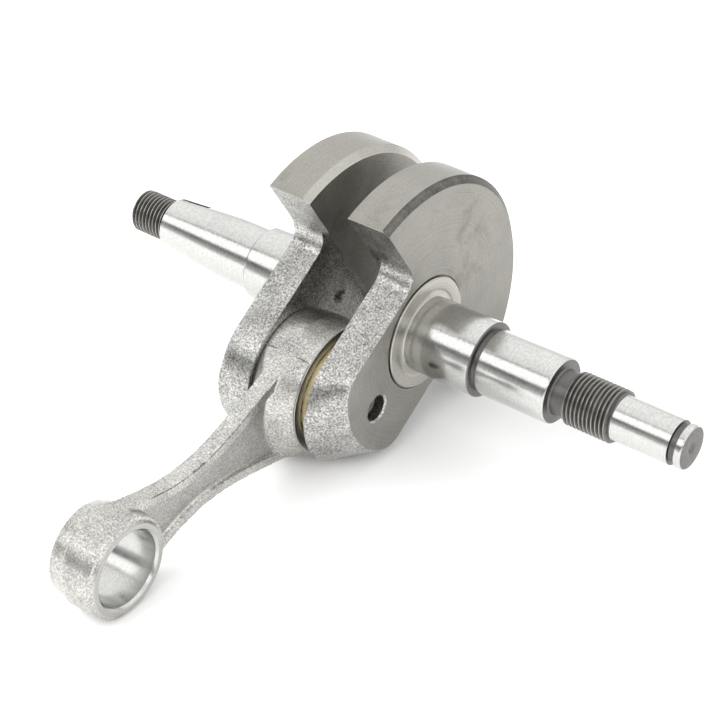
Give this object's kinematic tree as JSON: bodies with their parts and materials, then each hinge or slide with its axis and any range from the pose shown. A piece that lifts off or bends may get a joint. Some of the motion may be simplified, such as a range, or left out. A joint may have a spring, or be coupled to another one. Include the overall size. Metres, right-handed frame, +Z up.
{
  "type": "crankshaft",
  "caption": "Built-up engine crankshaft: counterweighted halves pressed on a crankpin, with a needle-bearing connecting rod, bearing seats, taper, key slot and threaded ends.",
  "frame": {"origin": "centre of the bounding box, on the plane that the assembly lies on", "axes": "+X along the shaft towards the clutch end, -Y towards the small end of the rod at rest, +Z up"},
  "size_m": [0.1474, 0.1308, 0.0618],
  "materials": {
    "forged_steel": "turned and shot-blasted forging, ground journals",
    "rod_steel": "shot-blasted forging with ground bores",
    "hardened_steel": "ground and lapped",
    "plated_cage": "pale gold plating"
  },
  "bodies": {
    "crank": {"clutch_side_crank_half": "forged_steel", "flywheel_side_crank_half": "forged_steel", "crankpin": "hardened_steel"},
    "rod": {"connecting_rod": "rod_steel"},
    "cage": {"big_end_needle_cage": "plated_cage"},
    "needle_01": {"needle_roller_01": "hardened_steel"},
    "needle_02": {"needle_roller_02": "hardened_steel"},
    "needle_03": {"needle_roller_03": "hardened_steel"},
    "needle_04": {"needle_roller_04": "hardened_steel"},
    "needle_05": {"needle_roller_05": "hardened_steel"},
    "needle_06": {"needle_roller_06": "hardened_steel"},
    "needle_07": {"needle_roller_07": "hardened_steel"},
    "needle_08": {"needle_roller_08": "hardened_steel"},
    "needle_09": {"needle_roller_09": "hardened_steel"},
    "needle_10": {"needle_roller_10": "hardened_steel"},
    "needle_11": {"needle_roller_11": "hardened_steel"},
    "needle_12": {"needle_roller_12": "hardened_steel"},
    "needle_13": {"needle_roller_13": "hardened_steel"}
  },
  "joints": [
    {"name": "rod_swing", "type": "hinge", "parent": "crank", "child": "rod", "pos_m": [-0.01005, 0.01314, 0.01603], "axis": [1, 0, 0], "continuous": true},
    {"name": "cage_turn", "type": "hinge", "parent": "crank", "child": "cage", "pos_m": [-0.00905, 0.01314, 0.01603], "axis": [1, 0, 0], "continuous": true},
    {"name": "needle_01_roll", "type": "hinge", "parent": "cage", "child": "needle_01", "pos_m": [-0.00905, 0.00281, 0.01792], "axis": [1, 0, 0], "continuous": true},
    {"name": "needle_02_roll", "type": "hinge", "parent": "cage", "child": "needle_02", "pos_m": [-0.00905, 0.00311, 0.01291], "axis": [1, 0, 0], "continuous": true},
    {"name": "needle_03_roll", "type": "hinge", "parent": "cage", "child": "needle_03", "pos_m": [-0.00905, 0.00571, 0.00861], "axis": [1, 0, 0], "continuous": true},
    {"name": "needle_04_roll", "type": "hinge", "parent": "cage", "child": "needle_04", "pos_m": [-0.00905, 0.01001, 0.006], "axis": [1, 0, 0], "continuous": true},
    {"name": "needle_05_roll", "type": "hinge", "parent": "cage", "child": "needle_05", "pos_m": [-0.00905, 0.01503, 0.0057], "axis": [1, 0, 0], "continuous": true},
    {"name": "needle_06_roll", "type": "hinge", "parent": "cage", "child": "needle_06", "pos_m": [-0.00905, 0.01961, 0.00776], "axis": [1, 0, 0], "continuous": true},
    {"name": "needle_07_roll", "type": "hinge", "parent": "cage", "child": "needle_07", "pos_m": [-0.00905, 0.02271, 0.01172], "axis": [1, 0, 0], "continuous": true},
    {"name": "needle_08_roll", "type": "hinge", "parent": "cage", "child": "needle_08", "pos_m": [-0.00905, 0.02362, 0.01666], "axis": [1, 0, 0], "continuous": true},
    {"name": "needle_09_roll", "type": "hinge", "parent": "cage", "child": "needle_09", "pos_m": [-0.00905, 0.02213, 0.02146], "axis": [1, 0, 0], "continuous": true},
    {"name": "needle_10_roll", "type": "hinge", "parent": "cage", "child": "needle_10", "pos_m": [-0.00905, 0.01857, 0.02501], "axis": [1, 0, 0], "continuous": true},
    {"name": "needle_11_roll", "type": "hinge", "parent": "cage", "child": "needle_11", "pos_m": [-0.00905, 0.01378, 0.02651], "axis": [1, 0, 0], "continuous": true},
    {"name": "needle_12_roll", "type": "hinge", "parent": "cage", "child": "needle_12", "pos_m": [-0.00905, 0.00883, 0.0256], "axis": [1, 0, 0], "continuous": true},
    {"name": "needle_13_roll", "type": "hinge", "parent": "cage", "child": "needle_13", "pos_m": [-0.00905, 0.00488, 0.02251], "axis": [1, 0, 0], "continuous": true}
  ],
  "couplings": [
    {"joint": "cage_turn", "follows": "rod_swing", "ratio": 0.57143},
    {"joint": "needle_01_roll", "follows": "rod_swing", "ratio": 3.4286},
    {"joint": "needle_02_roll", "follows": "rod_swing", "ratio": 3.4286},
    {"joint": "needle_03_roll", "follows": "rod_swing", "ratio": 3.4286},
    {"joint": "needle_04_roll", "follows": "rod_swing", "ratio": 3.4286},
    {"joint": "needle_05_roll", "follows": "rod_swing", "ratio": 3.4286},
    {"joint": "needle_06_roll", "follows": "rod_swing", "ratio": 3.4286},
    {"joint": "needle_07_roll", "follows": "rod_swing", "ratio": 3.4286},
    {"joint": "needle_08_roll", "follows": "rod_swing", "ratio": 3.4286},
    {"joint": "needle_09_roll", "follows": "rod_swing", "ratio": 3.4286},
    {"joint": "needle_10_roll", "follows": "rod_swing", "ratio": 3.4286},
    {"joint": "needle_11_roll", "follows": "rod_swing", "ratio": 3.4286},
    {"joint": "needle_12_roll", "follows": "rod_swing", "ratio": 3.4286},
    {"joint": "needle_13_roll", "follows": "rod_swing", "ratio": 3.4286}
  ]
}
